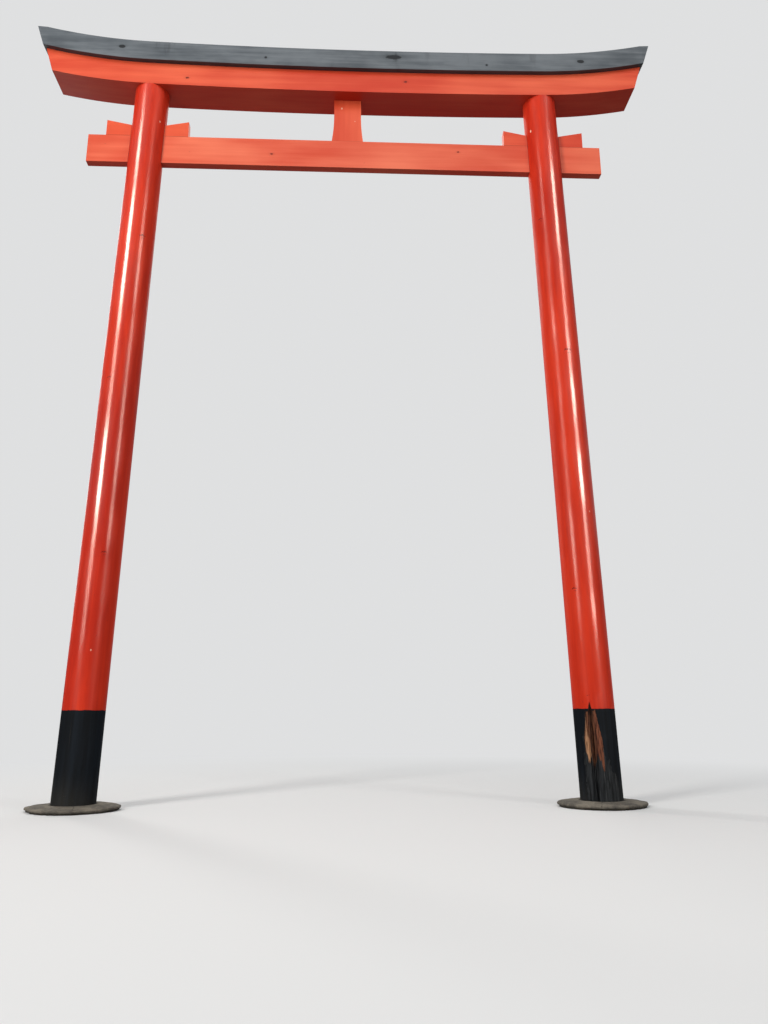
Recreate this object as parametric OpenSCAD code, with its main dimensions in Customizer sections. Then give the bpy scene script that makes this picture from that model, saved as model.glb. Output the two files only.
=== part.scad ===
// A single wooden torii gate, of the lacquered kind that is set close together in long rows.
// Two round posts lean towards each other and stand in mortar collars. A thin tie beam passes
// through both and is locked by wedges, a strut stands on its middle, and a lower lintel and
// a black top rail with raised ends lie across the post heads.
// X runs along the beams, the approach is on the -Y side and Z is up. The origin lies on the
// ground, midway between the feet.

/* [Posts] */
// Distance between the two post centres on the ground
foot_span = 1775; // [1700:5:1900]
// Diameter of each post on the ground
foot_d = 144; // [138:1:160]
// Diameter of each post under the lower lintel
head_d = 136; // [125:1:138]
// Lean of each post towards the other, in degrees
lean = 1.5; // [1:0.1:2]
// Side of the square tenon on each post head
post_tenon_w = 56; // [40:1:70]
// Height of the tenon on each post head
post_tenon_h = 55; // [35:1:70]

/* [Collars] */
// Mean diameter of a mortar collar where it meets the ground
collar_d = 304; // [290:1:340]
// Mean diameter of the flat top of a collar
collar_top_d = 280; // [240:1:285]
// Height of a collar beside its post
collar_h = 21; // [16:1:35]
// Height of the upright edge of a collar
collar_edge_h = 12; // [5:1:14]
// How far a collar's outline strays from round, as a share of its radius
collar_wobble = 0.025; // [0:0.005:0.04]

/* [Tie beam] */
// Clear height from the ground to the underside of the tie beam
passage_h = 2480; // [2300:10:2600]
// Height of the tie beam's face
beam_h = 126; // [110:1:140]
// Thickness of the tie beam, and of the wedges on it
beam_t = 32; // [26:1:40]
// Length of beam that stands out beyond each post
beam_end = 165; // [130:1:200]

/* [Wedges] */
// Length of a wedge that shows beside the post
wedge_show = 98; // [80:1:115]
// Height of a wedge at its thick end
wedge_butt_h = 71; // [65:1:80]
// Height of a wedge where it enters the post
wedge_neck_h = 51; // [45:1:60]
// Space left between the tips of the two wedges inside a post
wedge_tip_gap = 24; // [10:1:40]

/* [Strut] */
// Height of the strut between the tie beam and the lower lintel
strut_h = 200; // [170:1:240]
// Width of the strut at its head
strut_head_w = 112; // [100:1:120]
// Width of the strut at its spread foot
strut_foot_w = 130; // [122:1:140]
// Height over which the foot of the strut spreads
strut_spread_h = 120; // [80:1:150]
// Thickness of the strut
strut_t = 30; // [24:1:34]
// Width of the tenons at the strut's ends
strut_tenon_w = 60; // [40:1:80]
// Thickness of the tenons at the strut's ends
strut_tenon_t = 11; // [8:1:14]
// Length of each strut tenon
strut_tenon_h = 28; // [20:1:40]

/* [Lower lintel] */
// Height of the lower lintel
lintel_h = 100; // [85:1:120]
// Depth of the lower lintel from front to back
lintel_depth = 134; // [120:1:145]
// Length of the lower lintel along its underside
lintel_len = 2420; // [2300:5:2480]

/* [Top rail] */
// Height of the top rail's front face
rail_face_h = 88; // [75:1:100]
// Height of the ridge above the front face
rail_ridge_h = 34; // [20:1:50]
// How far the top rail stands out in front of and behind the lower lintel
rail_overhang = 20; // [12:1:30]
// Length of the top rail along its underside
rail_len = 2500; // [2490:5:2600]
// Rise of the lintel and the rail from the middle to the posts
mid_rise = 12; // [4:1:20]
// Further rise of the lintel and the rail from the posts to their ends
end_rise = 42; // [20:1:60]
// Slant of the end cuts of the lintel and the rail, in degrees
end_slant = 18; // [10:1:25]

/* [Rotten foot] */
// Height above the ground of the tip of the split in the right foot
rot_top_h = 348; // [250:1:420]
// Height at which the split is widest
rot_widest_h = 165; // [100:1:220]
// Width of the split at its widest
rot_w = 54; // [30:1:70]
// Width of the split where it reaches the ground
rot_ground_w = 34; // [20:1:50]
// Turn of the split from the front of the post towards the passage, in degrees
rot_turn = 27; // [0:1:90]

/* [Hidden] */
// Play on each side of a tenon, of the beam in its slots and of a post in its collar
play = 0.3;
// Longest and shortest stretch of straight edge along the curved timbers
curve_step = 40;
least_step = 1;
// Extra length of the tools that cut right through
through = 20;
// Number of sides of a round log and of the split
log_sides = 96;
rot_sides = 48;
// Number of points round a collar and along each side of the strut's foot
collar_points = 60;
spread_points = 12;
// Number of points along the upper and the lower part of the split
rot_points = 8;
// Number of wide and of narrow bulges round a collar
wide_bulges = 2;
narrow_bulges = 4;
// Turn of the wide bulges from the line of the gate, in degrees
bulge_turn = 40;

beam_top = passage_h + beam_h;
head_z = beam_top + strut_h;
log_len = head_z + lintel_h;
sky_z = 2 * log_len;
slot_w = beam_t + 2 * play;
rail_depth = lintel_depth + 2 * rail_overhang;

// Distance of a post's axis from the middle at a height z
function axis_x(z) = foot_span / 2 - z * tan(lean);
// Diameter of a post at a distance s along its axis
function log_d(s) = foot_d + (head_d - foot_d) * s / head_z;
// Height of the underside of the lower lintel at x
function sweep_z(x) = head_z + mid_rise * pow(x / head_x, 2)
    + end_rise * pow(max(0, abs(x) - head_x) / (rail_len / 2 - head_x), 2);
// Places along a curved timber of half length half, the same for all timbers
function stations(half) = concat([-half],
    [for (i = [-ceil(half / curve_step):ceil(half / curve_step)])
        if (abs(i * curve_step) < half - least_step) i * curve_step],
    [half]);

head_x = axis_x(head_z);
slot_x = axis_x(beam_top);
slot_r = log_d(beam_top) / 2;
wedge_slope = (wedge_butt_h - wedge_neck_h) / wedge_show;
wedge_mid_h = wedge_neck_h - wedge_slope * slot_r;
post_outer_x = axis_x(passage_h) + log_d(passage_h) / 2;
beam_len = 2 * (post_outer_x + beam_end);

vermilion = [0.80, 0.20, 0.12];
rail_black = [0.20, 0.23, 0.25];
mortar = [0.47, 0.46, 0.40];

// Puts what is drawn for the right side on the right (1) or on the left (-1)
module on_side(side) {
    if (side > 0) children();
    else mirror([1, 0, 0]) children();
}

// Extrudes an outline drawn in X and Z evenly to the front and the back
module across(depth) {
    rotate([90, 0, 0])
        linear_extrude(depth, center = true)
            children();
}

// The round log of the right post, longer than the post at both ends
module log_blank(gap = 0) {
    translate([foot_span / 2, 0, 0])
        rotate([0, -lean, 0])
            translate([0, 0, -through])
                cylinder(h = log_len + through, d1 = log_d(-through) + 2 * gap,
                    d2 = log_d(log_len) + 2 * gap, $fn = log_sides);
}

// Everything above the curved underside of the lower lintel, as deep as a post and more
module above_sweep() {
    half = rail_len / 2;
    across(foot_d + 2 * through)
        polygon(concat(
            [for (x = stations(half)) [x, sweep_z(x)]],
            [[half, sky_z], [-half, sky_z]]));
}

// Half the width of the split at a height z
function rot_r(z) = z > rot_widest_h
    ? rot_w / 2 * sin(90 * (rot_top_h - z) / (rot_top_h - rot_widest_h))
    : rot_ground_w / 2 + (rot_w - rot_ground_w) / 2 * sin(90 * z / rot_widest_h);

// The split in the right foot: a spindle whose axis runs down the surface of the post
module foot_rot() {
    heights = concat(
        [for (i = [0:rot_points]) rot_widest_h * i / rot_points],
        [for (i = [1:rot_points])
            rot_widest_h + (rot_top_h - rot_widest_h) * i / rot_points]);
    translate([foot_span / 2, 0, 0])
        rotate([0, -lean, 0])
            rotate([0, 0, -rot_turn])
                translate([0, -foot_d / 2, 0])
                    rotate_extrude($fn = rot_sides)
                        polygon(concat(
                            [[0, -through], [rot_ground_w / 2, -through]],
                            [for (h = heights) [rot_r(h), h]]));
}

// The slot for the tie beam and its wedges, its ceiling falling to the middle of the post
module beam_slot() {
    reach = slot_r + through;
    across(slot_w)
        translate([slot_x, 0])
            polygon([[-reach, passage_h], [reach, passage_h],
                [reach, beam_top + wedge_mid_h + wedge_slope * reach],
                [0, beam_top + wedge_mid_h],
                [-reach, beam_top + wedge_mid_h + wedge_slope * reach]]);
}

module post(side) {
    color(vermilion)
        on_side(side)
            difference() {
                union() {
                    difference() {
                        log_blank();
                        above_sweep();
                    }
                    translate([head_x, 0, head_z])
                        cube([post_tenon_w, post_tenon_w, 2 * post_tenon_h], center = true);
                }
                translate([foot_span / 2, 0, -through])
                    cube([2 * foot_d, 2 * foot_d, 2 * through], center = true);
                beam_slot();
                if (side > 0) foot_rot();
            }
}

// How far a collar's outline strays from round at the angle a, from -1.5 to 1.5
function bulge(a) = sin(wide_bulges * a + bulge_turn) + cos(narrow_bulges * a) / 2;

// Hand-laid outline of a collar, a little off round in the same way on opposite sides
module collar_outline(d) {
    polygon([for (i = [0:collar_points - 1])
        let (a = 360 * i / collar_points, r = d / 2 * (1 + collar_wobble * bulge(a)))
        [r * cos(a), r * sin(a)]]);
}

module collar(side) {
    color(mortar)
        on_side(side)
            difference() {
                translate([foot_span / 2, 0, 0])
                    hull() {
                        linear_extrude(collar_edge_h) collar_outline(collar_d);
                        linear_extrude(collar_h) collar_outline(collar_top_d);
                    }
                log_blank(play);
            }
}

// A block of the strut's tenon, centred on the height z and enlarged by gap all round
module strut_tenon(z, gap = 0) {
    translate([0, 0, z])
        cube([strut_tenon_w + 2 * gap, strut_tenon_t + 2 * gap, 2 * (strut_tenon_h + gap)],
            center = true);
}

module tie_beam() {
    color(vermilion)
        difference() {
            translate([-beam_len / 2, -beam_t / 2, passage_h])
                cube([beam_len, beam_t, beam_h]);
            strut_tenon(beam_top, play);
        }
}

// A wedge on the beam, driven into the right post from the inside (-1) or the outside (1)
module wedge(side, from) {
    tip = wedge_tip_gap / 2;
    butt = slot_r + wedge_show;
    color(vermilion)
        on_side(side)
            across(beam_t)
                translate([slot_x, beam_top])
                    polygon([[from * tip, 0], [from * butt, 0],
                        [from * butt, wedge_mid_h + wedge_slope * butt],
                        [from * tip, wedge_mid_h + wedge_slope * tip]]);
}

// Half the strut's width at a height h above the tie beam
function strut_half_w(h) = strut_head_w / 2
    + (strut_foot_w - strut_head_w) / 2 * pow(max(0, 1 - h / strut_spread_h), 2);

module centre_strut() {
    heights = [for (i = [0:spread_points]) strut_spread_h * i / spread_points];
    top = strut_h + mid_rise;
    color(vermilion) {
        difference() {
            across(strut_t)
                translate([0, beam_top])
                    polygon(concat(
                        [for (h = heights) [strut_half_w(h), h]],
                        [[strut_head_w / 2, top], [-strut_head_w / 2, top]],
                        [for (i = [spread_points:-1:0])
                            [-strut_half_w(heights[i]), heights[i]]]));
            above_sweep();
        }
        strut_tenon(beam_top);
        strut_tenon(head_z);
    }
}

module lower_lintel() {
    half = lintel_len / 2;
    slant = lintel_h * tan(end_slant);
    places = stations(half);
    last = len(places) - 1;
    color(vermilion)
        difference() {
            across(lintel_depth)
                polygon(concat(
                    [for (x = places) [x, sweep_z(x)]],
                    [[half + slant, sweep_z(half + slant) + lintel_h]],
                    [for (i = [last - 1:-1:1]) [places[i], sweep_z(places[i]) + lintel_h]],
                    [[-half - slant, sweep_z(half + slant) + lintel_h]]));
            for (side = [-1, 1])
                translate([side * head_x, 0, head_z])
                    cube([post_tenon_w + 2 * play, post_tenon_w + 2 * play,
                        2 * (post_tenon_h + play)], center = true);
            strut_tenon(head_z, play);
        }
}

// The section of the top rail as [y, height above its underside], from the front underside
rail_section = [
    [-rail_depth / 2, 0],
    [-rail_depth / 2, rail_face_h],
    [0, rail_face_h + rail_ridge_h],
    [rail_depth / 2, rail_face_h],
    [rail_depth / 2, 0]];

module top_rail() {
    half = rail_len / 2;
    places = stations(half);
    rings = len(places);
    corners = len(rail_section);
    points = [for (i = [0:rings - 1]) for (c = rail_section)
        let (x = places[i],
            slant = i == 0 || i == rings - 1 ? sign(x) * c[1] * tan(end_slant) : 0)
        [x + slant, c[0], sweep_z(x) + lintel_h + c[1]]];
    sides = [for (i = [0:rings - 2]) for (k = [0:corners - 1])
        let (n = (k + 1) % corners)
        [i * corners + k, i * corners + n, (i + 1) * corners + n, (i + 1) * corners + k]];
    start = [for (k = [corners - 1:-1:0]) k];
    finish = [for (k = [0:corners - 1]) (rings - 1) * corners + k];
    color(rail_black)
        polyhedron(points, concat(sides, [start], [finish]));
}

collar(-1);  // left_collar
collar(1);  // right_collar
post(-1);  // left_post
post(1);  // right_post
tie_beam();
wedge(-1, -1);  // left_inner_wedge
wedge(-1, 1);  // left_outer_wedge
wedge(1, -1);  // right_inner_wedge
wedge(1, 1);  // right_outer_wedge
centre_strut();
lower_lintel();
top_rail();
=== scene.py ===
import math
import random

import bpy
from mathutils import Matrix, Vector, noise


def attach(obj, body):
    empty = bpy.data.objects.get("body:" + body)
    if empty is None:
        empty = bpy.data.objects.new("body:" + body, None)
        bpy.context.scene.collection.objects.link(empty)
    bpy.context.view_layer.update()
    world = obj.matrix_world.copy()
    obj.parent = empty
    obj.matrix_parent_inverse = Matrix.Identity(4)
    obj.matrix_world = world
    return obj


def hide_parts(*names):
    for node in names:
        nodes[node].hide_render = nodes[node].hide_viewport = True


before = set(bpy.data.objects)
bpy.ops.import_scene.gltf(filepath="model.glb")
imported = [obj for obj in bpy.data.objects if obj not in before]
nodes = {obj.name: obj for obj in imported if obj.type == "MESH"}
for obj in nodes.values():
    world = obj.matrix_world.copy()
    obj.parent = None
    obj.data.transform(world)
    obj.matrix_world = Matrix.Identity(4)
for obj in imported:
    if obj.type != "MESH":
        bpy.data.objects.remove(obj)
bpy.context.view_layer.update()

print("frame loaded:", len(nodes), "nodes")

# Driving sizes of the gate in metres, the same as in the solids
gate = {
    "footSpan": 1.775,       # between the post centres on the ground
    "footRadius": 0.072,     # of a post on the ground
    "headRadius": 0.068,     # of a post under the lower lintel
    "beamTop": 2.606,        # upper side of the tie beam
    "headHeight": 2.806,     # underside of the lower lintel
    "lintelHeight": 0.100,   # from there up to the top rail
    "lean": math.radians(1.5),
    "blackHeight": 0.322,    # up the post to the edge of the black paint
}
signs = {"left": -1, "right": 1}    # of x on each side of the passage

camera = {
    "pictureHeight": 1024,   # pixels
    "sensor": 36,            # millimetres
    "lensPixels": 800,       # focal length in pixels of the picture
    "height": 0.30,
    "distance": 2.85,
    "aside": 0.02,
    "pitch": 14.3,           # degrees upward
    "yaw": 2.5,              # degrees to the right
    "roll": 0.2,
}


def newObject(name, data):
    made = bpy.data.objects.new(name, data)
    bpy.context.scene.collection.objects.link(made)
    return made


def makeCamera():
    lens = bpy.data.cameras.new("viewer")
    lens.sensor_width = camera["sensor"]
    lens.lens = camera["lensPixels"] / camera["pictureHeight"] * camera["sensor"]
    viewer = newObject("viewer", lens)
    viewer.location = (camera["aside"], -camera["distance"], camera["height"])
    viewer.rotation_euler = (
        math.radians(90 + camera["pitch"]),
        math.radians(camera["roll"]),
        math.radians(-camera["yaw"]),
    )
    bpy.context.scene.camera = viewer


makeCamera()
print("camera placed")


class Wire:  # an output socket that can be used in sums
    def __init__(self, graph, socket):
        self.graph = graph
        self.socket = socket

    def work(self, operation, *values):
        return self.graph.add("ShaderNodeMath", {"operation": operation}, dict(enumerate(values)))

    def __add__(self, other):
        return self.work("ADD", self, other)

    def __radd__(self, other):
        return self.work("ADD", other, self)

    def __sub__(self, other):
        return self.work("SUBTRACT", self, other)

    def __rsub__(self, other):
        return self.work("SUBTRACT", other, self)

    def __mul__(self, other):
        return self.work("MULTIPLY", self, other)

    def __rmul__(self, other):
        return self.work("MULTIPLY", other, self)

    def __truediv__(self, other):
        return self.work("DIVIDE", self, other)

    def __pow__(self, other):
        return self.work("POWER", self, other)

    def __abs__(self):
        return self.work("ABSOLUTE", self)


class Graph:  # a node tree, and the one way to add nodes to it
    def __init__(self, tree):
        self.tree = tree

    def add(self, kind, settings=None, inputs=None, output=0):
        node = self.tree.nodes.new(kind)
        for name, value in (settings or {}).items():
            setattr(node, name, value)
        for name, value in (inputs or {}).items():
            self.feed(node.inputs[name], value)
        return Wire(self, node.outputs[output])

    def feed(self, socket, value):
        if isinstance(value, Wire):
            self.tree.links.new(value.socket, socket)
        elif isinstance(value, (tuple, list)) and socket.type == "RGBA":
            socket.default_value = (*value, 1)
        else:
            socket.default_value = value


class Finish(Graph):  # one material
    def __init__(self, name):
        self.material = bpy.data.materials.new(name)
        self.material.use_nodes = True
        super().__init__(self.material.node_tree)
        self.surface = self.tree.nodes["Principled BSDF"]
        self.place = self.add("ShaderNodeTexCoord", output="Object")
        parts = self.add("ShaderNodeSeparateXYZ", inputs={0: self.place})
        outputs = parts.socket.node.outputs
        self.x, self.y, self.z = (Wire(self, outputs[name]) for name in "XYZ")

    def vector(self, x, y, z):
        return self.add("ShaderNodeCombineXYZ", inputs={0: x, 1: y, 2: z})

    def angle(self, opposite, beside):
        return self.add("ShaderNodeMath", {"operation": "ARCTAN2"}, {0: opposite, 1: beside})

    def mottle(self, place, scale, detail=3, roughness=0.55):
        return self.add("ShaderNodeTexNoise", inputs={
            "Vector": place, "Scale": scale, "Detail": detail, "Roughness": roughness})

    def cells(self, place, scale):
        return self.add("ShaderNodeTexVoronoi", inputs={"Vector": place, "Scale": scale},
                        output="Distance")

    def step(self, value, low, high):  # from 0 at low to 1 at high, which may be the lower one
        return self.add("ShaderNodeMapRange", {"interpolation_type": "SMOOTHSTEP"},
                        {"Value": value, "From Min": low, "From Max": high})

    def under(self, value, edge, blur):  # 1 under the edge and 0 over it
        return self.step(value, edge + blur, edge - blur)

    def over(self, value, edge, blur):  # 0 under the edge and 1 over it
        return self.step(value, edge - blur, edge + blur)

    def blend(self, factor, first, second):
        return self.add("ShaderNodeMix", {"data_type": "RGBA"},
                        {0: factor, 6: first, 7: second}, 2)

    def bump(self, height, distance, strength):
        return self.add("ShaderNodeBump", inputs={
            "Height": height, "Distance": distance, "Strength": strength})

    def upward(self):  # from -1 where the surface faces down to 1 where it faces up
        normal = self.add("ShaderNodeNewGeometry", output="Normal")
        return self.add("ShaderNodeSeparateXYZ", inputs={0: normal}, output=2)

    def sideways(self):  # from 0 where the surface faces the eye to 1 where it turns away
        away = self.add("ShaderNodeLayerWeight", inputs={"Blend": 0.5}, output="Facing")
        return self.step(away, 0.10, 0.42)

    def finish(self, colour, roughness, normal, coat=0.0, coatRoughness=0.1, level=0.5):
        surface = self.surface.inputs
        self.feed(surface["Base Color"], colour)
        self.feed(surface["Roughness"], roughness)
        self.feed(surface["Normal"], normal)
        self.feed(surface["Coat Weight"], coat)
        surface["Coat Roughness"].default_value = coatRoughness
        surface["Specular IOR Level"].default_value = level
        return self.material


def distance(across, along):
    return (across * across + along * along) ** 0.5


def fromLeast(mask, least):  # the mask again, but never under the least value
    return mask * (1 - least) + least


def paintOf(piece, name):  # a screen colour from 0 to 255, as the shader wants it
    def straight(value):
        value /= 255
        return value / 12.92 if value <= 0.04045 else ((value + 0.055) / 1.055) ** 2.4
    return tuple(straight(value) for value in piece[name])


lacquer = {
    "deep": (182, 39, 24),
    "fresh": (219, 58, 32),
    "pale": (228, 88, 50),
    "knot": (92, 22, 18),
    "black": (10, 15, 21),
    "sooty": (20, 27, 35),
    "dust": (92, 88, 80),
    "chip": (232, 190, 168),
    "chipLength": 1.5,       # for its width
}

post = {
    # height up the post, turn from the front in degrees and size in metres
    "knots": {
        "left": [(0.86, 24, 0.012), (1.52, -20, 0.010), (2.12, 34, 0.014), (1.18, 140, 0.015)],
        "right": [(0.74, -40, 0.011), (1.66, 6, 0.015), (2.24, -46, 0.010), (1.30, 160, 0.014)],
    },
    "knotLength": 1.25,      # for its width
    # small pale marks, listed like the knots: the two low ones are chips down to the pale wood,
    # the two high ones pale spots beside the wedges
    "chips": {
        "left": [(2.655, 52, 0.0030), (0.52, 18, 0.0022)],
        "right": [(2.660, -54, 0.0038), (1.02, 28, 0.0020)],
    },
    "seed": {"left": 0.0, "right": 3.7},
    "blackBlur": 0.0009,     # half the width of the edge of the black paint
    "blackWander": 0.006,    # how far it runs up and down
    "dustHeights": (0.22, 0.02),      # of the dust on the black paint, from none to most
    "splashHeights": (0.20, 0.02),    # and of the spots that rain has splashed up
    "specular": 0.03,
    "coat": 1.0,             # where the lacquer faces the eye
    "sideCoat": 0.22,        # and near the post's outline
    "coatRoughness": 0.15,
    "patchShine": 0.18,      # what is left of the shine in dull patches
    "footShine": 0.30,       # under the first of these heights
    "footHeights": (0.45, 1.10),
    "passageShine": 0.14,    # and towards the passage, where the lacquer is rubbed
    "passageSide": (-0.024, -0.004),  # metres round the post, outward from its front
    "relief": 0.0042,
}


def knotMarks(finish, across, up, knots):
    # a small swelling, a darker eye and a crack or two across the grain
    swell, dark = 0.0, 0.0
    ragged = finish.mottle(finish.place, 150, 3)
    for acrossAt, upAt, size in knots:
        du = (across - acrossAt) / size
        dv = (up - upAt) / (size * post["knotLength"])
        away = distance(du, dv)
        ring = finish.step(away, 2.6, 0.4)
        eye = finish.step(away + ragged * 0.6, 0.85, 0.45)
        bowed = dv + du * du * 0.28 + (ragged - 0.5) * 0.8
        crack = finish.step(abs(bowed), 0.15, 0.04) * finish.step(abs(du), 1.15, 0.7)
        second = finish.step(abs(bowed + 0.75), 0.12, 0.03) * finish.step(abs(du - 0.25), 0.6, 0.3)
        swell = swell + ring * 0.8 - eye * 0.2 - crack * 0.9 - second * 0.6
        dark = dark + crack * 0.85 + second * 0.6 + eye * 0.25
    return swell, dark


def chipMarks(finish, across, up, chips):
    marks = 0.0
    ragged = finish.mottle(finish.place, 420, 2)
    for acrossAt, upAt, size in chips:
        away = distance((across - acrossAt) / size, (up - upAt) / (size * lacquer["chipLength"]))
        marks = marks + finish.step(away + ragged, 1.55, 1.35)
    return marks


def axisReach(finish):  # from the middle of the gate to a post's axis at the point's height
    return gate["footSpan"] / 2 - finish.z * math.tan(gate["lean"])


def postPlace(finish, side):
    # where a point lies on the post: across it, up it and round it from the front
    across = finish.x - signs[side] * axisReach(finish)
    up = finish.z / math.cos(gate["lean"])
    turn = finish.angle(across, -1 * finish.y)
    return across, up, turn * gate["footRadius"]


def roundPost(marks):  # from turns in degrees to metres round the post
    return [(math.radians(angle) * gate["footRadius"], height, size)
            for height, angle, size in marks]


def postLacquer(side):
    finish = Finish(side + "PostLacquer")
    across, up, girth = postPlace(finish, side)
    seed = post["seed"][side]
    along = finish.z + seed

    def drawnOut(share):  # places drawn out along the grain
        return finish.vector(across, finish.y, along * share)

    log, long, grain = drawnOut(1.0), drawnOut(0.22), drawnOut(0.05)
    planed = finish.mottle(drawnOut(0.32), 10, 2, 0.4)    # where the plane took off more or less
    streaks = finish.mottle(grain, 46, 4, 0.6)
    brush = finish.mottle(grain, 230, 3, 0.6)
    clouds = finish.mottle(long, 5, 4, 0.55)
    colour = finish.blend(finish.step(clouds * 0.7 + streaks * 0.3, 0.36, 0.64),
                          paintOf(lacquer, "deep"), paintOf(lacquer, "fresh"))
    colour = finish.blend(finish.step(streaks, 0.58, 0.86) * 0.22, colour,
                          paintOf(lacquer, "pale"))

    swell, dark = knotMarks(finish, girth, up, roundPost(post["knots"][side]))
    pits = finish.step(finish.cells(log, 30), 0.060, 0.025)
    pits = pits * finish.step(finish.mottle(log, 9, 2), 0.52, 0.62)
    dark = dark + pits * 0.7
    colour = finish.blend(finish.step(dark, 0.0, 1.0), colour, paintOf(lacquer, "knot"))
    chips = chipMarks(finish, girth, up, roundPost(post["chips"][side]))
    colour = finish.blend(chips, colour, paintOf(lacquer, "chip"))

    wander = finish.mottle(finish.vector(across, finish.y, seed), 26, 2) - 0.5
    black = finish.under(up + wander * post["blackWander"], gate["blackHeight"],
                         post["blackBlur"])
    soot = finish.blend(finish.step(streaks, 0.35, 0.75), paintOf(lacquer, "black"),
                        paintOf(lacquer, "sooty"))
    dusty = finish.step(up + finish.mottle(long, 18, 4) * 0.14, *post["dustHeights"])
    scuffs = finish.step(finish.mottle(grain, 120, 5, 0.7), 0.67, 0.75)
    splash = finish.step(finish.cells(log, 95), 0.15, 0.07)
    splash = splash * finish.step(up, *post["splashHeights"])
    soot = finish.blend(dusty * 0.22 + scuffs * 0.16 + splash * 0.22, soot,
                        paintOf(lacquer, "dust"))
    colour = finish.blend(black, colour, soot)
    height = planed * 6.0 + streaks * 0.12 + brush * 0.014 + swell * 0.42 - pits * 0.25
    height = height + black * 0.06
    worn = black
    if side == "right":
        aside = fromSplit(girth)
        grey, brown = rottenMasks(finish, aside, up, streaks)
        wood, fibres, _ = splitColour(finish, grain, aside, up)
        colour = finish.blend(grey, colour, rottenGrey(finish, grain))
        colour = finish.blend(brown, colour, wood)
        bare = grey + brown
        height = height - bare * 0.25 - bare * fibres * 0.9
        worn = worn + bare
        holes = 0.0
        for girthAt, upAt, size in rot["holes"]:
            away = distance((girth - girthAt) / size, (up - upAt) / size)
            holes = holes + finish.step(away, 1.1, 0.6)
        colour = finish.blend(holes * 0.9, colour, paintOf(lacquer, "knot"))
    normal = finish.bump(height, post["relief"], 0.62)
    gloss = 0.34 + clouds * 0.10 + brush * 0.05 + worn * 0.34
    patches = finish.step(finish.mottle(long, 8, 2), 0.40, 0.58)
    shine = fromLeast(patches, post["patchShine"])
    shine = shine * fromLeast(finish.step(up, *post["footHeights"]), post["footShine"])
    outward = finish.step(girth * signs[side], *post["passageSide"])
    shine = shine * fromLeast(outward, post["passageShine"])
    shine = shine * (1 - finish.step(worn + dark * 0.5, 0, 0.6))
    coat = post["coat"] - finish.sideways() * (post["coat"] - post["sideCoat"])
    return finish.finish(colour, gloss, normal, coat * shine, post["coatRoughness"],
                         post["specular"])


timber = {
    # each timber's paint, paler than the posts' as painted light for the sky on it and its sheen,
    # most of all on the tie beam; the seed of its grain, how far its edges are worn, which dark
    # seams it has, and its knots and chips as x, z and size
    "tie_beam": {"finish": "tieBeamLacquer", "seed": 0.0, "edge": 0.0022,
                 "deep": (206, 70, 44), "fresh": (235, 120, 89), "seams": ("post",),
                 "knots": [(-0.31, 2.535, 0.008), (0.46, 2.568, 0.007)]},
    "centre_strut": {"finish": "centreStrutLacquer", "seed": 5.0, "edge": 0.0016,
                     "deep": (204, 66, 40), "fresh": (228, 98, 66), "seams": ("beam",),
                     "knots": [], "chips": [(-0.024, 2.766, 0.0032), (0.031, 2.704, 0.0018)]},
    "lower_lintel": {"finish": "lowerLintelLacquer", "seed": 9.0, "edge": 0.0030,
                     "deep": (198, 58, 36), "fresh": (231, 104, 72), "seams": (),
                     "knots": [(0.24, 2.862, 0.010), (-0.66, 2.850, 0.009)]},
    "wedges": {"finish": "wedgesLacquer", "seed": 13.0, "edge": 0.0012,
               "deep": (202, 60, 36), "fresh": (227, 94, 60), "seams": ("post", "beam"),
               "knots": []},
    "under": (150, 26, 18),  # darker red painted on the faces turned down, as painted shade
    "knotLength": 1.7,       # for its height
    "seam": 0.0016,          # width of the dark line where the paint bridges a joint
    "specular": 0.14,
    "coat": 0.60,
    "coatRoughness": 0.26,   # the sky shows only as a soft sheen
    "relief": 0.0036,
}


def smudgedKnots(finish, knots):
    # on the sawn timbers a knot shows as a ragged dark spot with a soft smudge along the grain
    swell, dark = 0.0, 0.0
    ragged = finish.mottle(finish.place, 190, 4, 0.65) - 0.5
    for x, z, size in knots:
        away = distance((finish.x - x) / (size * timber["knotLength"]), (finish.z - z) / size)
        away = away + ragged * 1.1
        smudge = finish.step(away, 1.6, 0.5)
        eye = finish.step(away, 0.55, 0.30)
        swell = swell + smudge * 0.5 - eye * 0.6
        dark = dark + smudge * 0.22 + eye * 0.6
    return swell, dark


def seamLines(finish, seams):
    seam, width = 0.0, timber["seam"]
    if "post" in seams:      # round the post where the timber enters it
        taper = (gate["footRadius"] - gate["headRadius"]) / gate["headHeight"]
        radius = gate["footRadius"] - finish.z * taper
        chord = (radius * radius - finish.y * finish.y) ** 0.5
        fromPost = abs(abs(finish.x) - axisReach(finish))
        seam = finish.step(abs(fromPost - chord), width * 1.6, width * 0.4)
    if "beam" in seams:      # along the top of the tie beam
        seam = seam + finish.step(finish.z, gate["beamTop"] + width * 1.5,
                                  gate["beamTop"] + width * 0.5)
    return finish.step(seam, 0, 1)


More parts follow.
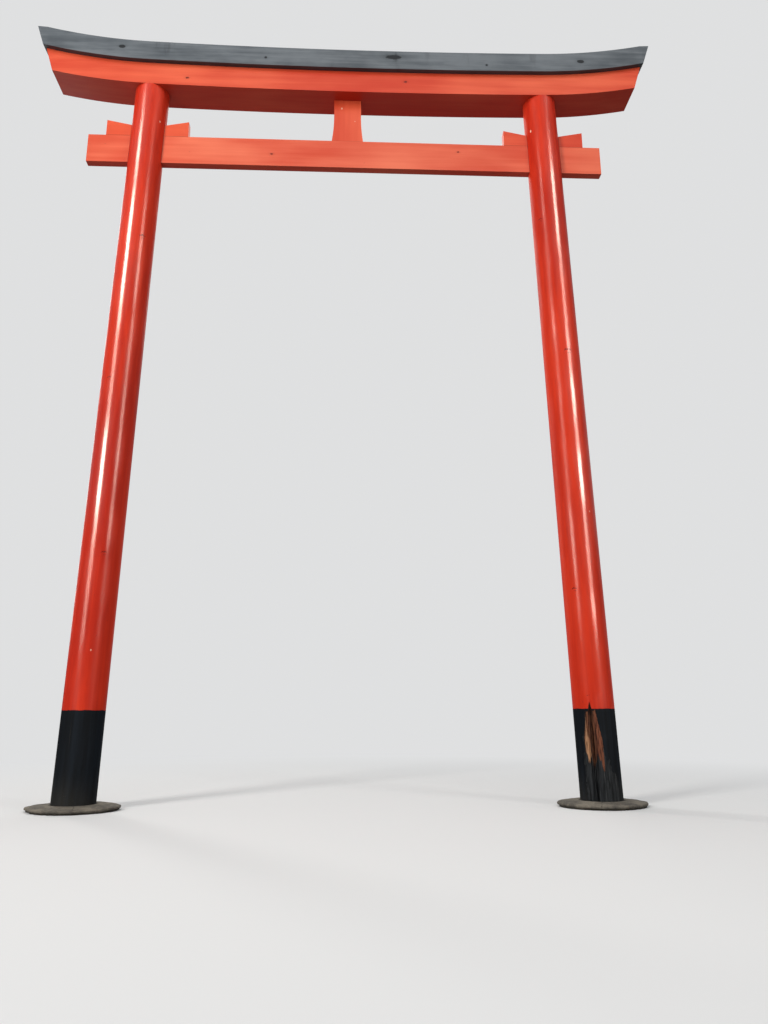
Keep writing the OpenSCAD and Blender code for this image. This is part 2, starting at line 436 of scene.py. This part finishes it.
def timberLacquer(name):
    own = timber[name]
    finish = Finish(own["finish"])

    def drawnOut(share):  # places drawn out along the grain, which stands upright in the strut
        if name == "centre_strut":
            return finish.vector(finish.x + own["seed"], finish.y, finish.z * share)
        return finish.vector(finish.x * share + own["seed"], finish.y, finish.z)

    solid, long, grain = drawnOut(1.0), drawnOut(0.3), drawnOut(0.045)
    streaks = finish.mottle(grain, 46, 4, 0.6)
    brush = finish.mottle(grain, 260, 3, 0.6)
    clouds = finish.mottle(long, 4, 3)
    planed = finish.mottle(long, 8, 2, 0.4)
    # deep and fresh are the posts' vermilion made paler: painted light for the sky on the timber
    # and its sheen
    colour = finish.blend(finish.step(clouds * 0.75 + streaks * 0.25, 0.33, 0.68),
                          paintOf(own, "deep"), paintOf(own, "fresh"))
    colour = finish.blend(finish.step(streaks, 0.58, 0.85) * 0.20, colour,
                          paintOf(lacquer, "pale"))
    swell, dark = smudgedKnots(finish, own["knots"])
    pits = finish.step(finish.cells(solid, 26), 0.055, 0.022)
    pits = pits * finish.step(finish.mottle(solid, 8, 2), 0.52, 0.62)
    dark = dark + pits * 0.6 + seamLines(finish, own["seams"]) * 0.6
    colour = finish.blend(finish.step(dark, 0.0, 1.0), colour, paintOf(lacquer, "knot"))
    upward = finish.upward()
    # painted shade: faces turned down are darkened towards the under red
    colour = finish.blend(finish.step(upward, -0.4, -0.9) * 0.6, colour,
                          paintOf(timber, "under"))
    dusty = finish.step(upward, 0.6, 0.95) * finish.step(finish.mottle(solid, 24, 5), 0.3, 0.7)
    colour = finish.blend(dusty * 0.4, colour, paintOf(lacquer, "dust"))
    if "chips" in own:
        colour = finish.blend(chipMarks(finish, finish.x, finish.z, own["chips"]), colour,
                              paintOf(lacquer, "chip"))
    height = planed * 0.8 + streaks * 0.16 + brush * 0.028 + swell * 0.25 - pits * 0.25
    normal = finish.bump(height, timber["relief"], 0.55)
    gloss = 0.34 + clouds * 0.08 + brush * 0.05 + dusty * 0.3
    coat = timber["coat"] * (1 - finish.sideways() * 0.9) * (1 - dusty)
    return finish.finish(colour, gloss, normal, coat, timber["coatRoughness"],
                         timber["specular"])


rail = {
    "grey": (107, 114, 121),
    "mid": (66, 73, 80),
    # soot, and also the painted shade under the rail
    "soot": (26, 29, 33),
    "lichen": (118, 121, 112),
    # holes and dark knots on the front face: x, height up the face, size and how long it is
    "knots": [(-0.93, 0.055, 0.010, 1.6), (-0.34, 0.036, 0.0065, 1.0), (0.19, 0.058, 0.012, 3.2),
              (0.58, 0.028, 0.006, 1.0), (0.98, 0.05, 0.010, 1.8)],
    "bow": 0.018,            # how fast the face rises from the middle
    "edge": 0.0030,
    "specular": 0.30,
    "coat": 0.26,
    "coatRoughness": 0.22,
    "relief": 0.0014,
}


def railPaint():
    finish = Finish("weatheredBlackPaint")
    place = finish.vector(finish.x * 0.045, finish.y, finish.z)
    grain = finish.mottle(place, 62, 5, 0.62)
    fine = finish.mottle(place, 300, 4, 0.65)
    clouds = finish.mottle(finish.vector(finish.x * 0.45, finish.y, finish.z), 6, 4)
    colour = finish.blend(finish.step(clouds * 0.65 + grain * 0.35, 0.36, 0.64),
                          paintOf(rail, "mid"), paintOf(rail, "grey"))
    colour = finish.blend(finish.step(fine, 0.58, 0.74) * 0.35, colour, paintOf(rail, "soot"))
    dark = 0.0
    height = grain * 0.5 + fine * 0.25
    foot = gate["headHeight"] + gate["lintelHeight"]
    ragged = finish.mottle(finish.place, 90, 2) - 0.5
    for x, up, size, long in rail["knots"]:
        du = (finish.x - x) / (size * long)
        dv = (finish.z - foot - up - rail["bow"] * x ** 2) / size
        away = distance(du, dv) + ragged * 0.5
        eye = finish.step(away, 1.0, 0.6)
        dark = dark + eye * 0.9 + finish.step(away, 2.2, 0.9) * 0.25
        height = height - eye * 0.6
    runs = finish.mottle(finish.vector(finish.x, finish.y, finish.z * 0.2), 18, 4)
    dark = dark + finish.step(runs, 0.56, 0.74) * 0.4
    colour = finish.blend(finish.step(dark, 0.0, 1.0), colour, paintOf(rail, "soot"))
    upward = finish.upward()
    crust = finish.step(finish.mottle(finish.place, 30, 5), 0.50, 0.66)
    colour = finish.blend(finish.step(upward, 0.5, 0.9) * crust * 0.6, colour,
                          paintOf(rail, "lichen"))
    # painted shade: faces turned down are darkened towards the soot colour
    colour = finish.blend(finish.step(upward, -0.4, -0.8) * 0.7, colour, paintOf(rail, "soot"))
    normal = finish.bump(height, rail["relief"], 0.6)
    worn = finish.step(upward, 0.3, 0.8)    # rain has taken the gloss off the two slopes
    return finish.finish(colour, 0.42 + fine * 0.16 + worn * 0.4, normal,
                         rail["coat"] * (1 - worn), rail["coatRoughness"], rail["specular"])


mortar = {
    "base": (124, 118, 108),
    "damp": (86, 83, 78),
    "sand": (160, 152, 138),
    "grit": (56, 53, 49),
    # turn round the foot in radians, and bend
    "cracks": [(0.35, 0.02), (2.6, -0.03), (4.4 - math.tau, 0.04)],
    # from faintest to darkest: off the middle of a crack, off the post, and above the ground for
    # the painted shade along the mortar's foot
    "crackEdges": (0.0013, 0.0004),
    "ring": (0.012, 0.002),
    "paintedGroundShade": (0.0052, 0.0034),
    "specular": 0.25,
    "relief": 0.0018,
}


def mortarFinish(side):
    finish = Finish(side + "HandLaidMortar")
    sign = signs[side]
    place = finish.vector(finish.x * sign, finish.y, finish.z + sign)
    out = finish.x * sign - gate["footSpan"] / 2
    away = distance(out, finish.y)
    turn = finish.angle(finish.y, out)
    clouds = finish.mottle(place, 14, 4)
    trowel = finish.mottle(finish.vector(away * 3, turn * 0.35, sign), 22, 3)
    grains = finish.mottle(place, 420, 3, 0.7)
    stones = finish.cells(place, 260)
    pores = finish.step(finish.cells(place, 120), 0.14, 0.06)
    pores = pores * finish.step(finish.mottle(place, 30, 2), 0.48, 0.6)
    colour = finish.blend(finish.step(clouds, 0.36, 0.66), paintOf(mortar, "damp"),
                          paintOf(mortar, "base"))
    for layer, name in ((finish.step(trowel, 0.45, 0.7) * 0.3, "sand"),
                        (finish.step(grains, 0.56, 0.68) * 0.6, "sand"),
                        (finish.step(grains, 0.42, 0.34) * 0.6, "grit")):
        colour = finish.blend(layer, colour, paintOf(mortar, name))
    ring = finish.step(away, *(gate["footRadius"] + reach for reach in mortar["ring"]))
    # painted shade: the mortar is darkened along its foot, just above the ground
    low = finish.step(finish.z, *mortar["paintedGroundShade"])
    crack = 0.0
    wander = (finish.mottle(place, 45, 4, 0.7) - 0.5) * 0.22
    for angle, bend in mortar["cracks"]:
        across = abs(turn - angle + wander + bend * away) * away
        crack = crack + finish.step(across, *mortar["crackEdges"])
    dark = ring * 0.5 + low * 0.85 + pores * 0.7 + crack * 0.85
    colour = finish.blend(finish.step(dark, 0.0, 1.0), colour, paintOf(mortar, "grit"))
    height = clouds * 0.4 + grains * 0.4 + finish.step(stones, 0.5, 0.1) * 0.4 + trowel * 0.3
    height = height - pores * 0.6 - crack * 1.2
    normal = finish.bump(height, mortar["relief"], 0.8)
    return finish.finish(colour, 0.92, normal, level=mortar["specular"])


rot = {
    "top": 0.348,            # tip of the split above the ground
    "widest": 0.165,         # height at which it is widest
    "width": 0.054,
    "groundWidth": 0.034,
    "turn": -27,             # degrees from the front, towards the passage
    "start": 0.0205,         # the lining begins at the top of the collar
    "tipGap": 0.004,         # and ends this far under the tip
    "sideShare": 0.985,      # its sides end just inside the post's skin
    "backShare": 0.992,      # and its back is just off the wall of the split
    "columns": 72,
    "rows": 170,
    # ridges of broken fibres as strength, how many across and along, and seed
    "fibres": [(1.0, 5, 4, 2), (0.55, 13, 7, 7), (0.30, 31, 12, 1)],
    "pale": (182, 136, 103),
    "rust": (132, 80, 61),
    "brown": (126, 82, 60),
    "umber": (80, 54, 43),
    "dark": (38, 27, 24),
    "slate": (29, 31, 33),
    "grey": (52, 55, 58),
    "ash": (118, 117, 115),
    "greyHeight": 0.152,     # above this the broken wood is still brown
    # bare wood beside the split: the heights at which it ends, how far it reaches from the
    # middle of the split towards the passage and away from it, and how much farther lower down
    "greyTop": (0.225, 0.205),
    "greyReach": (0.032, 0.034),
    "greySpread": 0.040,     # only away from the passage
    "greySpreadHeights": (0.21, 0.07),
    "brownTop": (0.316, 0.310),
    "brownReach": (0.0170, 0.0160),
    "brownSpread": (0.012, 0.018),
    "brownSpreadHeights": (0.330, 0.200),
    # a pale ridge towards the passage, half its width at the top and how much is added below
    "ridgeTop": (0.300, 0.285),
    "ridgeAside": -0.0195,
    "ridgeHalf": 0.0012,
    "ridgeSpread": 0.0060,
    "ridgeSpreadHeights": (0.275, 0.200),
    # two woodworm holes over the tip: way round from the front, height up the post and size
    "holes": [(-0.0385, 0.366, 0.0016), (-0.0325, 0.367, 0.0013)],
    "specular": 0.2,
    "relief": 0.0018,
}


def fromSplit(girth):  # metres round the post from the middle of the split
    return girth - math.radians(rot["turn"]) * gate["footRadius"]


def rottenMasks(finish, aside, up, streaks):
    # paint lost beside the split: grey below, most of it away from the passage, and brown above
    ragged = (finish.mottle(finish.place, 70, 5, 0.65) - 0.5) * 0.030 + (streaks - 0.5) * 0.05
    inner, outer = rot["greyReach"]
    outer = outer + finish.step(up, *rot["greySpreadHeights"]) * rot["greySpread"]
    grey = finish.under(aside + ragged, outer, 0.002) * finish.over(aside - ragged, -inner, 0.002)
    grey = grey * finish.step(up + ragged * 1.6 + aside * 0.6, *rot["greyTop"])
    wander = (streaks - 0.5) * 0.012 + (finish.mottle(finish.place, 120, 3) - 0.5) * 0.004
    low = finish.step(up, *rot["brownSpreadHeights"])
    inner, outer = (low * spread + reach
                    for spread, reach in zip(rot["brownSpread"], rot["brownReach"]))
    brown = finish.over(aside + wander, -1 * inner, 0.0005)
    brown = brown * finish.under(aside + wander, outer, 0.0005)
    brown = brown * finish.step(up + (streaks - 0.5) * 0.05, *rot["brownTop"])
    torn = up + (streaks - 0.5) * 0.16 + aside * 0.6
    return grey, brown * finish.over(torn, rot["greyHeight"], 0.004)


def splitColour(finish, grain, aside, up):
    # brown fibres with a pale ridge to the left, a rusty side to the right and dark cracks
    fibres = finish.mottle(grain, 300, 4, 0.65)
    bands = finish.mottle(grain, 90, 3)
    colour = finish.blend(finish.step(bands, 0.38, 0.60), paintOf(rot, "umber"),
                          paintOf(rot, "brown"))
    colour = finish.blend(finish.step(aside, 0.004, 0.018) * 0.75, colour, paintOf(rot, "rust"))
    wander = bands - 0.5
    half = rot["ridgeHalf"] + finish.step(up, *rot["ridgeSpreadHeights"]) * rot["ridgeSpread"]
    ridge = finish.under(abs(aside + wander * 0.010 - rot["ridgeAside"]), half, 0.002)
    ridge = ridge * finish.step(up + wander * 0.05, *rot["ridgeTop"])
    colour = finish.blend(ridge, colour, paintOf(rot, "pale"))
    colour = finish.blend(finish.step(fibres, 0.52, 0.40) * 0.9, colour, paintOf(rot, "dark"))
    return colour, fibres * 0.8 + bands * 0.6, bands


def rottenGrey(finish, grain):
    fibres = finish.mottle(grain, 190, 5, 0.68)
    colour = finish.blend(finish.step(fibres, 0.36, 0.6), paintOf(rot, "slate"),
                          paintOf(rot, "grey"))
    return finish.blend(finish.step(fibres, 0.58, 0.72) * 0.6, colour, paintOf(rot, "ash"))


def rottenWood():
    finish = Finish("rottenWood")
    _, up, girth = postPlace(finish, "right")
    aside = fromSplit(girth)
    grain = finish.vector(finish.x, finish.y, finish.z * 0.05)
    colour, fibres, bands = splitColour(finish, grain, aside, up)
    hollow = finish.add("ShaderNodeAttribute", {"attribute_name": "hollow"}, output="Fac")
    # painted shade: the broken wood darkens where the lining sinks back between the fibres
    colour = finish.blend(finish.step(hollow, 0.45, 1.0) * 0.9, colour, paintOf(rot, "dark"))
    fangs = (bands - 0.5) * 0.16 + (finish.mottle(finish.place, 60, 3) - 0.5) * 0.03
    low = finish.under(up + fangs + aside * 0.6, rot["greyHeight"], 0.006)
    colour = finish.blend(low, colour, rottenGrey(finish, grain))
    tip = finish.step(up + fangs * 0.3, 0.285, 0.315)
    colour = finish.blend(tip * 0.9, colour, paintOf(rot, "dark"))
    normal = finish.bump(fibres, rot["relief"], 0.9)
    return finish.finish(colour, 0.8, normal, level=rot["specular"])


def paint(node, material):
    for slot in nodes[node].material_slots:
        slot.material = material


def softenEdges(node, width):
    edge = nodes[node].modifiers.new("worn edges", "BEVEL")
    edge.width = width
    edge.segments = 2
    edge.limit_method = "ANGLE"
    edge.angle_limit = math.radians(35)
    edge.harden_normals = True


for side in signs:
    paint(side + "_post", postLacquer(side))
for name in ("tie_beam", "centre_strut", "lower_lintel"):
    paint(name, timberLacquer(name))
    softenEdges(name, timber[name]["edge"])
wedgePaint = timberLacquer("wedges")
for wedge in ("left_inner_wedge", "left_outer_wedge", "right_inner_wedge", "right_outer_wedge"):
    paint(wedge, wedgePaint)
    softenEdges(wedge, timber["wedges"]["edge"])
paint("top_rail", railPaint())
softenEdges("top_rail", rail["edge"])
print("timbers painted")


def newMesh(name, points, faces, material):
    mesh = bpy.data.meshes.new(name)
    mesh.from_pydata(points, [], faces)
    mesh.materials.append(material)
    return mesh


def newPiece(name, points, faces, material, node=None, smooth=True):
    mesh = newMesh(name, points, faces, material)
    mesh.polygons.foreach_set("use_smooth", [smooth] * len(mesh.polygons))
    mesh.update()
    piece = newObject(name, mesh)
    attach(piece, "root")
    if node:
        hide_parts(node)
    return piece


collar = {
    "seeds": {"left": 4, "right": 11},
    "radius": 0.152,
    "wobble": 0.025,         # same off-round outline as the solid's
    "bulgeTurn": math.radians(40),
    "height": 0.021,
    "play": 0.0002,          # between the mortar and the post
    "inside": 0.003,         # how far the worn edge lies inside the solid's
    "undercut": 0.009,       # how far the lowest edge is worn back
    "around": 360,
    "chips": 7,
    "chipWidth": (0.03, 0.10),    # radians
    "chipDepth": (0.003, 0.009),
    "edgeLumps": (0.0016, 0.0008, 0.0007),    # from broad to fine
    "topLumps": (0.0013, 0.0005),
    # rows from the post out over the top and down the side: reach, height and undercut, as shares
    "rows": [(0.0, 1.0, 0), (0.05, 0.99, 0), (0.14, 0.975, 0), (0.27, 0.95, 0), (0.40, 0.92, 0),
             (0.53, 0.885, 0), (0.66, 0.84, 0), (0.78, 0.79, 0), (0.88, 0.74, 0), (0.95, 0.695, 0),
             (0.985, 0.66, 0), (0.998, 0.58, 0), (1.0, 0.48, 0), (0.999, 0.36, 0.05),
             (0.997, 0.31, 0.35), (0.997, 0.27, 0.8), (0.997, 0.23, 1.0), (0.997, 0.12, 1.0),
             (0.997, 0.0, 1.0)],
}


def collarOutline(turn):
    bulge = math.sin(2 * turn + collar["bulgeTurn"]) + math.cos(4 * turn) / 2
    return collar["radius"] * (1 + collar["wobble"] * bulge)


def chipDepth(turn, chips):
    deepest = 0
    for where, width, depth in chips:
        gap = abs((turn - where + math.pi) % math.tau - math.pi) / width
        if gap < 1:
            deepest = max(deepest, depth * min(1, 2.2 * (1 - gap)))
    return deepest


def collarEdge(turn, reach, level, inset, worn, seed):
    # how far the mortar reaches from the post's axis, with its lumps, chips and undercut
    place = Vector((math.cos(turn) * 3, math.sin(turn) * 3, seed))
    broad, small, fine = collar["edgeLumps"]
    outer = collarOutline(turn) - collar["inside"]
    outer += broad * noise.noise(place * 1.3) + small * noise.noise(place * 7)
    outer += fine * noise.noise(place * 19 + Vector((0, 0, level * 3)))
    outer -= worn * max(0, min(1, (reach - 0.75) / 0.25)) * (1.1 - 0.5 * level)
    return outer - inset * collar["undercut"] * (0.75 + 0.6 * noise.noise(place * 2.3))


def makeCollar(side):
    seed, sign, around = collar["seeds"][side], signs[side], collar["around"]
    rnd = random.Random(seed)
    chips = [(rnd.uniform(0, math.tau), rnd.uniform(*collar["chipWidth"]),
              rnd.uniform(*collar["chipDepth"])) for _ in range(collar["chips"])]
    points = []
    inner = gate["footRadius"] + collar["play"]
    broad, fine = collar["topLumps"]
    for reach, level, inset in collar["rows"]:
        for i in range(around):
            turn = math.tau * i / around
            worn = chipDepth(turn, chips)
            outer = collarEdge(turn, reach, level, inset, worn, seed)
            radius = inner + (outer - inner) * reach
            height = collar["height"] * level
            if level > 0:
                spot = Vector((radius * math.cos(turn), radius * math.sin(turn), seed))
                height += broad * noise.noise(spot * 26) * min(1, reach * 4)
                height += fine * noise.noise(spot * 130)
                height -= worn * 0.3 * max(0, (reach - 0.8) / 0.2) * level
            height = max(0, height)
            x = gate["footSpan"] / 2 + radius * math.cos(turn) - height * math.tan(gate["lean"])
            points.append((sign * x, radius * math.sin(turn), height))
    rows = len(collar["rows"])
    faces = []
    for row in range(rows):  # the last row joins the first and closes the ring on the ground
        for i in range(around):
            j = (i + 1) % around
            here, there = row * around, (row + 1) % rows * around
            quad = [here + i, there + i, there + j, here + j]
            faces.append(quad if sign > 0 else quad[::-1])
    newPiece(side + "CollarMortar", points, faces, mortarFinish(side),
             node=side + "_collar")


for side in signs:
    makeCollar(side)
print("collars laid")


def rotRadius(up):
    if up > rot["widest"]:
        share = (rot["top"] - up) / (rot["top"] - rot["widest"])
        return rot["width"] / 2 * math.sin(math.pi / 2 * max(0, share))
    share = math.sin(math.pi / 2 * max(0, up) / rot["widest"])
    return rot["groundWidth"] / 2 + (rot["width"] - rot["groundWidth"]) / 2 * share


def wallReach(wall):  # half the angle over which the wall of the split lies inside the post
    return math.acos(min(1, wall / (2 * gate["footRadius"])))


def onRightPost(out, along, up):
    # from the split's own directions (outward, round the post, up the post) to the frame's
    turn, lean = math.radians(rot["turn"]), gate["lean"]
    east = out * math.sin(turn) + along * math.cos(turn)
    south = out * math.cos(turn) - along * math.sin(turn)
    return (gate["footSpan"] / 2 + east * math.cos(lean) - up * math.sin(lean),
            -south,
            east * math.sin(lean) + up * math.cos(lean))


def inSplit(deep, angle, up, aside=0):
    # a point in the split from its depth and angle, both taken from the line on the post's skin
    out = gate["footRadius"] - deep * math.cos(angle)
    return onRightPost(out, deep * math.sin(angle) + aside, up)


def gridFaces(columns, rows, first=0, flip=False):
    stride = columns + 1
    faces = []
    for row in range(rows):
        for column in range(columns):
            a = first + row * stride + column
            quad = [a, a + 1, a + stride + 1, a + stride]
            faces.append(quad[::-1] if flip else quad)
    return faces


def rimFaces(columns, rows):  # joins the front and the back sheet of a thick skin
    stride = columns + 1
    size = stride * (rows + 1)
    faces = []
    for row in range(rows):
        a, b = row * stride, row * stride + columns
        faces.append([a, a + stride, a + stride + size, a + size])
        faces.append([b + size, b + stride + size, b + stride, b])
    for column in range(columns):
        a, b = column, rows * stride + column
        faces.append([a + size, a + size + 1, a + 1, a])
        faces.append([b, b + 1, b + size + 1, b + size])
    return faces


def fibreHeight(side, up):
    # how far the broken fibres stand off the wall of the split, as a share of its radius
    ridge = sum(strength * noise.noise(Vector((side * across, up * along, seed)))
                for strength, across, along, seed in rot["fibres"])
    torn = 0.5 + 0.5 * noise.noise(Vector((math.floor(side * 9), up * 12, 5)))
    return max(0.02, min(0.86, (0.36 + 0.42 * ridge + 0.18 * torn) * (1 - abs(side) ** 4)))


def makeRottenWood(splitWood):
    columns, rows, start = rot["columns"], rot["rows"], rot["start"]
    fronts, backs, hollows = [], [], []
    for row in range(rows + 1):
        up = start + (rot["top"] - rot["tipGap"] - start) * row / rows
        wall = rotRadius(up)
        reach = wallReach(wall) * rot["sideShare"]
        for column in range(columns + 1):
            side = 2 * column / columns - 1
            rise = fibreHeight(side, up)
            # how far the fibres sink back, read as painted shade in the hollows
            hollows.append(max(0, 1 - rise * 2.2) * (1 - abs(side) ** 6))
            fronts.append(inSplit(wall * (1 - rise), side * reach, up))
            backs.append(inSplit(wall * rot["backShare"], side * reach, up))
    faces = gridFaces(columns, rows) + gridFaces(columns, rows, len(fronts), True)
    faces += rimFaces(columns, rows)
    piece = newPiece("rottenWoodLining", fronts + backs, faces, splitWood,
                     smooth=False)
    hollow = piece.data.attributes.new("hollow", "FLOAT", "POINT")
    hollow.data.foreach_set("value", hollows + [1.0] * len(backs))


splinters = {
    "count": 16, "seed": 8, "steps": 8,
    "spread": 0.75,          # share of the split's width that they stand on
    "lowest": 0.035,
    "tipGap": 0.06,
    "width": 0.0030,
    "length": (0.035, 0.11),
    # shares of the split's radius: off the wood, added at the free end, and at most
    "off": 0.03,
    "lift": (0.08, 0.34),
    "highest": 0.93,
    "twist": 0.12,
    "upward": 0.6,           # share of them that are fixed at their lower end
}


def makeSplinters(splitWood):
    # long slivers still fixed at one end, standing off the broken wood
    rnd = random.Random(splinters["seed"])
    points, faces = [], []
    steps = splinters["steps"]
    for _ in range(splinters["count"]):
        side = rnd.uniform(-splinters["spread"], splinters["spread"])
        length = rnd.uniform(*splinters["length"])
        root = rnd.uniform(splinters["lowest"], rot["top"] - splinters["tipGap"] - length)
        upward = rnd.random() < splinters["upward"]
        lift = rnd.uniform(*splinters["lift"])
        twist = rnd.uniform(-splinters["twist"], splinters["twist"])
        first = len(points)
        for k in range(steps + 1):
            share = k / steps
            up = root + length * (share if upward else 1 - share)
            wall = rotRadius(up)
            here = side + twist * share
            angle = here * wallReach(wall)
            rise = fibreHeight(here, up) + splinters["off"] + lift * share ** 2
            deep = wall * (1 - min(splinters["highest"], rise))
            half = splinters["width"] / 2 * (1 - share) ** 0.6
            half *= 0.8 + 0.3 * math.sin(5 * share + root * 90)
            thick = half * 0.7
            for aside, off in ((-half, 0), (0, -thick), (half, 0), (0, thick)):
                points.append(inSplit(deep + off, angle, up, aside))
        for k in range(steps):
            for corner in range(4):
                a, b = first + 4 * k + corner, first + 4 * k + (corner + 1) % 4
                faces.append([a, b, b + 4, a + 4])
        faces.append([first + 3, first + 2, first + 1, first])
        last = first + 4 * steps
        faces.append([last, last + 1, last + 2, last + 3])
    newPiece("splinters", points, faces, splitWood, smooth=False)


splitWood = rottenWood()
makeRottenWood(splitWood)
makeSplinters(splitWood)
print("rotten foot lined")


studio = {
    "background": (0.74, 0.745, 0.75),
    "skyTint": (0.97, 0.985, 1.0),
    "worldLight": 0.38,
    "warm": (1.0, 0.955, 0.89),
    "cream": (1.0, 0.90, 0.77),    # of the lamps that are mirrored in the paint
    "floorSeen": (0.775, 0.795, 0.815),
    "floorBounce": (0.34, 0.34, 0.34),
    "floorReach": 60,
    "fadeFrom": 0.9,         # the floor fades into the background between these distances
    "fadeTo": 3.8,
}

# Some lamps only light the paint, some are only mirrored in it and the others do both
lamps = {
    "key": {"place": (-3.9, -4.5, 4.0), "aim": 4.0, "size": (1.4, 6.0), "power": 300,
            "does": "light"},
    "fill": {"place": (4.4, -4.2, 4.0), "aim": 4.0, "size": (1.4, 6.0), "power": 90,
             "does": "light"},
    "leftStrip": {"place": (-4.0, -4.4, 4.0), "aim": 4.0, "size": (2.0, 6.0), "power": 1900,
                  "does": "mirror", "postsOnly": True},
    "rightStrip": {"place": (4.0, -4.4, 4.0), "aim": 4.0, "size": (2.0, 6.0), "power": 1900,
                   "does": "mirror", "postsOnly": True},
    "sky": {"place": (0.4, -4.2, 6.2), "aim": 2.6, "size": (4.6, 2.4), "power": 72,
            "does": "light"},
    "sheen": {"place": (0.4, -4.2, 6.2), "aim": 2.6, "size": (4.6, 2.4), "power": 30,
              "does": "mirror"},
    "back": {"place": (-0.6, 4.2, 5.2), "aim": 2.6, "size": (4.5, 3.0), "power": 75,
             "does": "both"},
    "backStrip": {"place": (-4.0, 4.8, 4.0), "aim": 4.0, "size": (0.9, 6.0), "power": 130,
                  "does": "both"},
}


def makeWorld():
    world = bpy.data.worlds.new("studio")
    bpy.context.scene.world = world
    world.use_nodes = True
    graph = Graph(world.node_tree)
    light = graph.add("ShaderNodeBackground", inputs={
        "Color": studio["skyTint"], "Strength": studio["worldLight"]})
    seen = graph.add("ShaderNodeBackground", inputs={"Color": studio["background"]})
    rays = graph.add("ShaderNodeLightPath", output="Is Camera Ray")
    anySeen = rays
    for kind in ("Is Glossy Ray", "Is Transmission Ray"):
        anySeen = anySeen.work("MAXIMUM", anySeen, Wire(graph, rays.socket.node.outputs[kind]))
    mixed = graph.add("ShaderNodeMixShader", inputs={"Fac": anySeen, 1: light, 2: seen})
    graph.feed(graph.tree.nodes["World Output"].inputs["Surface"], mixed)
    graph.tree.nodes.remove(graph.tree.nodes["Background"])


def makeFloor():
    finish = Finish("studioFloor")
    fade = finish.step(distance(finish.x, finish.y), studio["fadeFrom"], studio["fadeTo"])
    seen = finish.add("ShaderNodeLightPath", output="Is Camera Ray")
    tone = finish.blend(seen, studio["floorBounce"], studio["floorSeen"])
    matt = finish.add("ShaderNodeBsdfDiffuse", inputs={"Color": tone})
    glow = finish.add("ShaderNodeEmission", inputs={"Color": studio["background"]})
    dim = finish.add("ShaderNodeBsdfDiffuse", inputs={"Color": studio["floorBounce"]})
    shown = finish.add("ShaderNodeMixShader", inputs={"Fac": seen, 1: dim, 2: glow})
    mixed = finish.add("ShaderNodeMixShader", inputs={"Fac": fade, 1: matt, 2: shown})
    finish.feed(finish.tree.nodes["Material Output"].inputs["Surface"], mixed)
    finish.tree.nodes.remove(finish.surface)
    reach = studio["floorReach"]
    corners = [(-reach, -reach, 0), (reach, -reach, 0), (reach, reach, 0), (-reach, reach, 0)]
    mesh = newMesh("studioFloor", corners, [[0, 1, 2, 3]], finish.material)
    newObject("studioFloor", mesh)


def makeLamp(name, roundPosts):
    lamp = lamps[name]
    light = bpy.data.lights.new(name + "Lamp", "AREA")
    light.shape = "RECTANGLE"
    light.size, light.size_y = lamp["size"]
    light.energy = lamp["power"]
    light.color = studio["cream" if lamp["does"] == "mirror" else "warm"]
    placed = newObject(name + "Lamp", light)
    placed.location = lamp["place"]
    aim = Vector((0, 0, lamp["aim"])) - Vector(lamp["place"])
    placed.rotation_euler = aim.to_track_quat("-Z", "Y").to_euler()
    placed.visible_glossy = lamp["does"] != "light"
    placed.visible_diffuse = lamp["does"] != "mirror"
    if "postsOnly" in lamp:  # it makes a long highlight on each round post
        placed.light_linking.receiver_collection = roundPosts


makeWorld()
makeFloor()
roundPosts = bpy.data.collections.new("roundPosts")
for side in signs:
    roundPosts.objects.link(nodes[side + "_post"])
for name in lamps:
    makeLamp(name, roundPosts)
bpy.context.scene.view_settings.view_transform = "Standard"
print("studio lit")
